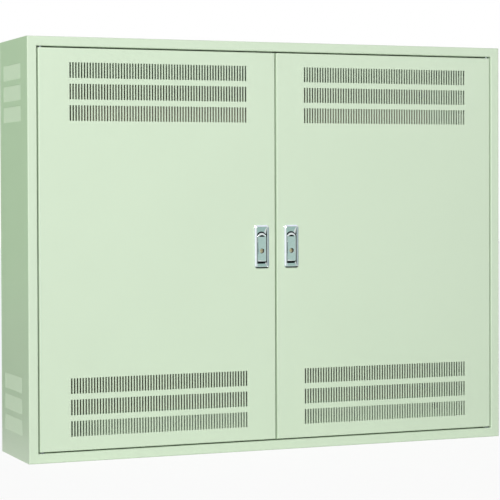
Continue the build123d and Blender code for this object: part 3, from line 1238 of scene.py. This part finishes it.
    def build(self, shop: Workshop) -> None:
        """Cast the case and put it in place of its CAD node.

        The well, all that lies behind it and the recess's upright sides are unplated zinc, darkened as
        painted shade.

        Args:
            shop: dresses the piece.
        """
        blank = Blank(self.place)
        shown = self.rim_rings() + self.recess_rings()
        bright = len(shown) - self.painted_shade_rings
        lines = [[blank.point(*point) for point in ring.points(self.corner_steps)]
                 for ring in shown + self.lock_rings()]
        # Bridges past the bright rings take the dark unplated zinc: painted shade in the well and the cup.
        for i, (first, second) in enumerate(zip(lines, lines[1:] + lines[:1])):
            blank.bridge(first, second, BRIGHT if i < bright else PAINTED_SHADE)
        # The recess's upright sides take the same painted shade.
        for face in blank.mesh.faces:
            face.normal_update()
            across = abs(face.calc_center_median().x / MM - self.latching.handle_x(self.hand))
            on_side = abs(across - self.opening_half[0]) < self.side_tolerance
            if on_side and abs(face.normal.x) > self.side_normal:
                face.material_index = PAINTED_SHADE
        word = self.hand.word
        case = shop.mount(blank.piece(f"{word}_case_casting"), f"{word}_door", Slot.CHROME,
                          f"{word}_handle_case")
        # Second material: the dark unplated zinc, painted shade.
        case.data.materials.append(shop.unplated_zinc_and_shade)


@dataclass
class HandleLever(HandlePiece):
    """Sprung lever in the case's recess: an arched plate with a finger scoop, and a hinge lug at its foot.

    Pairs named for a bevel hold its inset and its drop.
    """

    half_width: float = 9.25
    ends: Pair = (-29.0, 26.7)
    span: Pair = (-3.6, -0.6)
    corner: float = 2.0
    steps: int = 24
    corner_steps: int = 6
    edge_bevel: Pair = (0.7, 0.3)
    arch_bevel: Pair = (2.9, 1.5)
    grip_bevel: Pair = (1.9, 0.25)
    bevel_belly: Pair = (0.15, 0.72)
    grip: Pair = (-17.0, 11.0)
    grip_runs: Pair = (4.0, 2.0)
    key_hole: float = 4.6
    key_hole_edge: float = 0.3
    key_hole_steps: int = 40
    scoop: tuple[float, float, float, float] = (6.0, 19.2, 3.5, 2.5)
    scoop_steps: tuple[int, int] = (24, 8)
    scoop_draft: float = 0.94
    scoop_lift: float = 0.1
    scoop_taper: float = 0.92
    lug: tuple[float, float, float] = (5.5, 6.5, 4.8)
    lug_set: float = 0.15
    pin: tuple[float, float, float] = (1.5, -27.0, 1.05)
    pin_steps: int = 24

    def outline(self) -> list[tuple[Pair, Pair]]:
        """Outline of the lever: a round arch, straight sides and a foot with rounded corners.

        Returns:
            Points round the lever, each with the way inwards from it.
        """
        half, corner, steps = self.half_width, self.corner, self.steps
        foot, tall = self.ends
        arch = tall - half
        marks = []
        for step in range(steps + 1):
            turn = math.pi * step / steps
            marks.append(((half * math.cos(turn), arch + half * math.sin(turn)),
                          (-math.cos(turn), -math.sin(turn))))
        for step in range(1, steps):
            marks.append(((-half, arch + (foot + corner - arch) * step / steps), (1.0, 0.0)))
        for side, start in ((-1, 180), (1, 270)):
            for step in range(self.corner_steps + 1):
                turn = math.radians(start + 90 * step / self.corner_steps)
                marks.append(((side * (half - corner) + corner * math.cos(turn),
                               foot + corner + corner * math.sin(turn)), (-math.cos(turn), -math.sin(turn))))
        for step in range(1, steps):
            marks.append(((half, foot + corner + (arch - foot - corner) * step / steps), (-1.0, 0.0)))
        return marks

    def bevel(self, z: float) -> Pair:
        """Bevel on the lever's front edge, which widens round the arch and along the grip.

        Args:
            z: height from the handle's middle.

        Returns:
            Inset and drop of the bevel.
        """
        half, tall = self.half_width, self.ends[1]
        (low, high), (low_run, high_run) = self.grip, self.grip_runs
        if z > tall - half:
            share = ((z - tall + half) / half) ** 2
            more = self.arch_bevel
        else:
            share = min(max((high - z) / high_run, 0.0), 1.0) * min(max((z - low) / low_run, 0.0), 1.0)
            more = self.grip_bevel
        return self.edge_bevel[0] + more[0] * share, self.edge_bevel[1] + more[1] * share

    def build(self, shop: Workshop) -> None:
        """Cast the lever and put it in place of its CAD node.

        Args:
            shop: dresses the piece.
        """
        blank = Blank(self.place)
        face, rear = self.span
        belly_inset, belly_drop = self.bevel_belly
        rings: list[Chain] = [[], [], [], []]
        for (x, z), (way_x, way_z) in self.outline():
            width, drop = self.bevel(z)
            section = ((0.0, rear), (0.0, face + drop),
                       (width * belly_inset, face + drop * belly_drop), (width, face))
            for ring, (inset, depth) in zip(rings, section):
                ring.append(blank.point(x + way_x * inset, depth, z + way_z * inset))
        # The lever's sides take the dark unplated zinc, painted shade in the gap round the lever.
        for first, second, finish in zip(rings, rings[1:], (PAINTED_SHADE, BRIGHT, BRIGHT)):
            blank.bridge(first, second, finish)
        scoop = self.scoop_rings(blank)
        edge = self.key_hole_edge
        hole = [[blank.point(x, depth, z - self.key_drop) for x, z in circle(radius, self.key_hole_steps)]
                for radius, depth in ((self.key_hole + edge, face), (self.key_hole, face + edge),
                                      (self.key_hole, rear))]
        blank.bridge(hole[0], hole[1])
        # The key hole's wall takes the same painted shade.
        blank.bridge(hole[1], hole[2], PAINTED_SHADE)
        lug = self.lug_ring(blank, rear)
        blank.fill((rings[-1], scoop, hole[0]), OUTWARD)
        blank.fill((rings[0], hole[2], lug), INWARD)
        word = self.hand.word
        lever = shop.mount(blank.piece(f"{word}_lever_casting"), f"{word}_lever", Slot.CHROME,
                           f"{word}_handle_lever")
        # Second material: the dark unplated zinc, painted shade.
        lever.data.materials.append(shop.unplated_zinc_and_shade)

    def scoop_rings(self, blank: Blank) -> Chain:
        """Finger scoop: a half-moon pocket, deepest along its straight lower edge, its walls and floor dark
        unplated zinc as painted shade.

        Args:
            blank: mesh of the lever.

        Returns:
            The pocket's outline on the lever's face.
        """
        chord, flat, rise, deep = self.scoop
        face = self.span[0]
        radius = (chord ** 2 + rise ** 2) / (2 * rise)
        spread = math.asin(chord / radius)
        bow_steps, flat_steps = self.scoop_steps
        angles = [spread - 2 * spread * i / bow_steps for i in range(bow_steps + 1)]
        outline = [(radius * math.sin(angle), flat + radius * math.cos(angle) - radius + rise)
                   for angle in angles]
        outline += [(-chord + 2 * chord * i / flat_steps, flat) for i in range(1, flat_steps)]
        edge = [blank.point(x, face, z) for x, z in outline]
        inside = []
        for x, z in outline:
            height = flat + self.scoop_lift + (z - flat) * self.scoop_draft
            depth = face + deep * (1 - self.scoop_taper * (z - flat) / rise)
            inside.append(blank.point(x * self.scoop_draft, depth, height))
        # Walls and floor of the pocket: painted shade in dark unplated zinc.
        blank.bridge(edge, inside, PAINTED_SHADE)
        blank.face(inside, PAINTED_SHADE)
        return edge

    def lug_ring(self, blank: Blank, rear: float) -> Chain:
        """Hinge lug behind the lever's foot, with the hole of its pin.

        Args:
            blank: mesh of the lever.
            rear: depth of the lever's rear face.

        Returns:
            The lug's outline on the rear face.
        """
        half, height, reach = self.lug
        pin_depth, pin_height, pin_radius = self.pin
        foot = self.ends[0]
        low, high = foot + self.lug_set, foot + height
        sides, holes = [], []
        for x in (-half, half):
            sides.append([blank.point(x, depth, z) for depth, z in
                          ((rear, low), (reach, low), (reach, high), (rear, high))])
            holes.append([blank.point(x, pin_depth + y, pin_height + z)
                          for y, z in circle(pin_radius, self.pin_steps)])
        left, right = sides
        for i in range(len(left) - 1):
            blank.face((left[i], left[i + 1], right[i + 1], right[i]))
        blank.bridge(*holes)
        for corners, ring in zip(sides, holes):
            blank.fill((corners, ring), SIDEWAYS)
        return [left[0], left[-1], right[-1], right[0]]


class Drive(Enum):
    """How a screw is turned."""

    HEXAGON = 6
    CROSS = 4


@dataclass(frozen=True)
class Screw:
    """A screw head on its washer, seen where it is driven in.

    A cross recess is given by the reach, half width and depth of its arms, as shares of the crown's rim.
    """

    drive: Drive
    head_radius: float
    head_height: float
    washer_radius: float = 0.0
    washer_height: float = 0.0
    edge: float = 0.35
    washer_edge: float = 0.3
    washer_side_share: float = 0.7
    crown_degrees: tuple[int, ...] = (0, 15, 30, 45, 60)
    cross_shares: Point = (0.8, 0.22, 0.5)
    segments: int = 24

    def add(self, blank: Blank, place: Place) -> None:
        """Add the head and the washer to a mesh.

        Args:
            blank: mesh that takes them.
            place: turns x, y and the height above the seat to the cabinet's coordinates.
        """
        base = 0.0
        if self.washer_radius:
            base = self.washer_height
            washer = [(self.washer_radius, 0.0), (self.washer_radius, base * self.washer_side_share),
                      (self.washer_radius - self.washer_edge, base)]
            self.turned(blank, place, washer, self.segments, True)
        top = base + self.head_height
        radius = self.head_radius
        if self.drive is Drive.HEXAGON:
            head = [(radius, base), (radius, top - self.edge), (radius - self.edge, top)]
            self.turned(blank, place, head, self.drive.value, True)
            return
        angles = [math.radians(angle) for angle in self.crown_degrees]
        crown = [(radius * math.cos(angle), base + self.head_height * math.sin(angle)) for angle in angles]
        self.turned(blank, place, crown, self.segments, False)
        self.cross(blank, place, crown[-1])

    @staticmethod
    def turned(blank: Blank, place: Place, profile: Sequence[Pair], segments: int, closed: bool) -> None:
        """Turn a profile of radius and height round its axis.

        Args:
            blank: mesh that takes the faces.
            place: turns local coordinates to the cabinet's.
            profile: radius and height of each ring.
            segments: points in a ring.
            closed: whether the top is closed with a flat face.
        """
        rings = [[blank.point(x, y, height, place) for x, y in circle(radius, segments, HALF_STEP)]
                 for radius, height in profile]
        for first, second in zip(rings, rings[1:]):
            blank.bridge(first, second)
        blank.face(rings[0])
        if closed:
            blank.face(rings[-1])

    def cross(self, blank: Blank, place: Place, rim: Pair) -> None:
        """Close a round head with a cross-shaped recess.

        Args:
            blank: mesh that takes the faces.
            place: turns local coordinates to the cabinet's.
            rim: radius and height of the head's top ring.
        """
        radius, height = rim
        arm, half, deep = (radius * share for share in self.cross_shares)
        outline = []
        for turn in range(self.drive.value):
            sine, cosine = math.sin(turn * math.pi / 2), math.cos(turn * math.pi / 2)
            for x, y in ((arm, -half), (arm, half), (half, half)):
                outline.append((x * cosine - y * sine, x * sine + y * cosine))
        upper, lower = ([blank.point(x, y, level, place) for x, y in outline]
                        for level in (height, height - deep))
        blank.bridge(upper, lower)
        blank.face(lower)
        edge = [blank.point(x, y, height, place) for x, y in circle(radius, self.segments, HALF_STEP)]
        blank.fill((edge, upper))


@dataclass
class Fasteners:
    """Small screws, plugs and the earth stud, which only the dressed part carries."""

    latching: Latching
    front: float
    plate_bolt: Screw = Screw(Drive.HEXAGON, 6.5, 5.3, 8.0, 1.6)
    entry_screw: Screw = Screw(Drive.CROSS, 4.0, 2.6, 5.0, 0.8)
    bridge_screw: Screw = Screw(Drive.CROSS, 3.2, 2.0)
    earth_nut: Screw = Screw(Drive.HEXAGON, 7.5, 6.5, 8.5, 1.6)
    stud: Screw = Screw(Drive.HEXAGON, 4.0, 22.0)
    plate_face: float = 74.5
    plate_bolts: tuple[Pair, ...] = ((-410, 90), (410, 90), (-410, 710), (410, 710))
    earth: Pair = (-380.0, 105.0)
    entry_top: float = 5.2
    entry_places: Pair = (159.0, 54.0)
    entry_middle: float = 25.0
    bridge_level: float = 27.0
    bridge_rear: float = 14.5
    wall_holes: tuple[Pair, ...] = ((-455, 45), (455, 45), (-455, 755), (455, 755))
    back_face: float = 96.8
    plug: tuple[Pair, ...] = ((4.9, -1.5), (4.9, 0.0), (7.5, 0.0), (7.5, 1.0), (6.8, 1.6))
    plug_segments: int = 32

    @staticmethod
    def forward(x: float, face: float, z: float) -> Place:
        """Seat on an upright face, from which a head stands out towards the front."""
        return lambda a, b, h: (x + a, face - h, z + b)

    def build(self, shop: Workshop) -> None:
        """Drive every screw and plug the wall holes.

        Args:
            shop: dresses the pieces.
        """
        plate, earth, entry, plugs = Blank(), Blank(), Blank(), Blank()
        for x, z in self.plate_bolts:
            self.plate_bolt.add(plate, self.forward(x, self.plate_face, z))
        shop.mount(plate.piece("plate_bolts"), "cabinet", Slot.ZINC)
        x, z = self.earth
        for screw in (self.earth_nut, self.stud):
            screw.add(earth, self.forward(x, self.plate_face, z))
        shop.mount(earth.piece("earth_stud"), "cabinet", Slot.BRASS)
        far_x, far_y = self.entry_places
        for x in (-far_x, -far_x / 3, far_x / 3, far_x):
            for y in (-far_y, far_y):
                self.entry_screw.add(entry, lambda a, b, h, x=x, y=y:
                                     (x + a, self.entry_middle + y + b, self.entry_top + h))
        shop.mount(entry.piece("entry_screws"), "cabinet", Slot.ZINC)
        for x, z in self.wall_holes:
            Screw.turned(plugs, self.forward(x, self.back_face, z), self.plug, self.plug_segments, True)
        shop.mount(plugs.piece("wall_hole_plugs"), "cabinet", Slot.RUBBER)
        for hand in Hand:
            bridge = Blank()
            middle = self.latching.handle_x(hand)
            for level in (-self.bridge_level, self.bridge_level):
                self.bridge_screw.add(bridge, lambda a, b, h, level=level: (
                    middle + a, self.front + self.bridge_rear + h, self.latching.handle_level + level + b))
            shop.mount(bridge.piece(f"{hand.word}_bridge_screws"), f"{hand.word}_door", Slot.ZINC)


@dataclass(frozen=True)
class Viewpoint:
    """The camera, as fitted to the outline of the photographed cabinet."""

    yaw: float = 22.151
    pitch: float = -1.056
    roll: float = -0.202
    focal_pixels: float = 1891.9
    shift_y: float = -0.06
    clip: Pair = (0.1, 100.0)
    place: Point = (-1445.1, -3517.7, 520.3)

    def build(self) -> None:
        """Make the scene's camera."""
        yaw, pitch, roll = (math.radians(angle) for angle in (self.yaw, self.pitch, self.roll))
        level = Vector((math.sin(yaw), math.cos(yaw), 0))
        right = Vector((math.cos(yaw), -math.sin(yaw), 0))
        up = Vector((0, 0, 1))
        ahead = level * math.cos(pitch) + up * math.sin(pitch)
        upright = up * math.cos(pitch) - level * math.sin(pitch)
        across = right * math.cos(roll) + upright * math.sin(roll)
        upward = upright * math.cos(roll) - right * math.sin(roll)
        data = bpy.data.cameras.new("camera")
        data.sensor_width = SENSOR_MM
        data.lens = self.focal_pixels * SENSOR_MM / IMAGE_PIXELS
        data.shift_y = self.shift_y
        data.clip_start, data.clip_end = self.clip
        camera = put("camera", data)
        camera.matrix_world = Matrix.Translation(Vector(self.place) * MM) @ Matrix(
            (across, upward, -ahead)).transposed().to_4x4()
        bpy.context.scene.camera = camera


@dataclass(frozen=True)
class Lamp:
    """A soft box: where it stands, where it points, its size and its power."""

    name: str
    place: Point
    aim: Point
    size: float
    watts: float

    def build(self) -> None:
        """Hang the lamp."""
        data = bpy.data.lights.new(self.name, "AREA")
        data.shape = "SQUARE"
        data.size = self.size
        data.energy = self.watts
        lamp = put(self.name, data)
        lamp.location = self.place
        lamp.rotation_euler = (Vector(self.aim) - Vector(self.place)).to_track_quat("-Z", "Y").to_euler()


@dataclass(frozen=True)
class Card:
    """A flat studio card that only shows as a reflection in the gloss of the object."""

    name: str
    place: Point
    aim: Point
    size: Pair
    colour: str
    strength: float = 1.0

    def build(self) -> None:
        """Stand the card up and keep it out of the picture and the light."""
        card = rectangle(self.name, self.size)
        card.location = self.place
        card.rotation_euler = (Vector(self.aim) - Vector(self.place)).to_track_quat("Z", "Y").to_euler()
        material, tree = new_tree(self.name)
        glow = add_node(tree, "ShaderNodeEmission", {"Color": linear(self.colour), "Strength": self.strength})
        add_node(tree, "ShaderNodeOutputMaterial", {"Surface": glow.outputs[0]})
        card.data.materials.append(material)
        for ray in ("camera", "diffuse", "shadow", "transmission", "volume_scatter"):
            setattr(card, f"visible_{ray}", False)


@dataclass
class Studio:
    """Plain soft light, a pale floor and a white surround."""

    ambient: float = 0.12
    white: str = "#ffffff"
    floor_colour: str = "#f2f2f0"
    floor_half: float = 12.0
    floor_drop_mm: float = 0.2
    floor_glow: float = 0.9
    lamps: tuple[Lamp, ...] = (
        Lamp("key", (-3.9, -7.2, 4.4), (0.0, 0.0, 0.4), 2.4, 675.0),
        Lamp("side", (-3.4, -0.9, 0.8), (-0.5, 0.0, 0.4), 1.2, 2.0),
    )
    # The chrome mirrors the cards: those in front in its faces, the white, top and right ones in its bevels,
    # and the floor and high ones in its ramps. The dark flag gives its undersides black edges. The green
    # flags stand where the left wall's gloss grazes, so that it keeps the colour of the paint.
    cards: tuple[Card, ...] = (
        Card("front_card", (1.35, -3.0, 0.5), (-0.03, -0.1, 0.4), (2.1, 1.3), "#c6ded6"),
        Card("white_card", (-2.1, -2.5, 0.5), (0.0, -0.1, 0.4), (1.5, 1.8), "#fbfaff", 1.3),
        Card("top_card", (0.9, -0.3, 2.6), (0.0, -0.1, 0.4), (0.7, 1.8), "#f2f0ff", 1.3),
        Card("right_card", (2.4, -0.41, 0.35), (0.0, -0.1, 0.4), (0.5, 1.0), "#aab4c2"),
        Card("near_card", (-0.25, -3.2, 0.5), (-0.03, -0.1, 0.4), (1.1, 1.3), "#5f7b7c"),
        Card("floor_card", (0.1, -0.62, 0.004), (0.1, -0.62, 1.0), (1.8, 0.4), "#b4d0c8"),
        Card("high_card", (0.9, -1.1, 2.6), (0.0, -0.1, 0.37), (1.8, 0.6), "#b4d0c8"),
        Card("floor_flag", (0.0, -0.26, 0.004), (0.0, -0.26, 1.0), (1.6, 0.26), "#0c0d0d"),
        Card("rear_flag", (-2.3, 2.6, 0.9), (-0.5, 0.0, 0.5), (4.2, 2.6), "#4f9a3a", 2.4),
        Card("side_floor_flag", (-2.1, 1.3, 0.004), (-2.1, 1.3, 1.0), (3.0, 3.0), "#4f9a3a"),
    )

    @staticmethod
    def seen(tree: Tree) -> Socket:
        """Tell rays that show a thing from rays that only light it.

        Args:
            tree: node tree of a material or the world.

        Returns:
            An output of one where a ray comes from the camera, or by way of gloss or glass.
        """
        path = add_node(tree, "ShaderNodeLightPath").outputs
        seen = path["Is Camera Ray"]
        for way in ("Is Glossy Ray", "Is Transmission Ray"):
            seen = add_node(tree, "ShaderNodeMath", {0: seen, 1: path[way]}, operation="MAXIMUM").outputs[0]
        return seen

    def build_world(self) -> None:
        """White surround where it is seen, and even light where it only lights."""
        world = bpy.data.worlds.new("studio")
        world.use_nodes = True
        tree = world.node_tree
        tree.nodes.clear()
        white = linear(self.white)
        light = add_node(tree, "ShaderNodeBackground", {"Color": white, "Strength": self.ambient})
        seen = add_node(tree, "ShaderNodeBackground", {"Color": white, "Strength": 1.0})
        both = add_node(tree, "ShaderNodeMixShader",
                        {0: self.seen(tree), 1: light.outputs[0], 2: seen.outputs[0]})
        add_node(tree, "ShaderNodeOutputWorld", {"Surface": both.outputs[0]})
        bpy.context.scene.world = world

    def build_floor(self) -> None:
        """Pale floor that shows a light shadow."""
        side = 2 * self.floor_half
        floor = rectangle("floor", (side, side), -self.floor_drop_mm * MM)
        material, tree = new_tree("pale_floor")
        matt = add_node(tree, "ShaderNodeBsdfDiffuse", {"Color": linear(self.floor_colour)})
        glow = add_node(tree, "ShaderNodeEmission", {"Color": linear(self.white), "Strength": 1.0})
        share = add_node(tree, "ShaderNodeMath", {0: self.seen(tree), 1: self.floor_glow},
                         operation="MULTIPLY")
        both = add_node(tree, "ShaderNodeMixShader",
                        {0: share.outputs[0], 1: matt.outputs[0], 2: glow.outputs[0]})
        add_node(tree, "ShaderNodeOutputMaterial", {"Surface": both.outputs[0]})
        floor.data.materials.append(material)

    def build(self) -> None:
        """Set up the light, the floor and the surround."""
        bpy.context.scene.view_settings.view_transform = "Standard"
        self.build_world()
        self.build_floor()
        for item in (*self.lamps, *self.cards):
            item.build()


def main() -> None:
    """Build every sub-assembly, dress it and set up the studio."""
    logging.basicConfig(level=logging.INFO, format="%(message)s")
    shop = Workshop()
    shop.dress_nodes()
    latching = Latching()
    body = Body(Sheet(), Vents(), latching)
    body.build(shop)
    for hand in Hand:
        Door(hand, body).build(shop)
        HandleCase(hand, latching, body.front).build(shop)
        HandleLever(hand, latching, body.front).build(shop)
    Fasteners(latching, body.front).build(shop)
    Studio().build()
    Viewpoint().build()


if __name__ == "__main__":
    main()
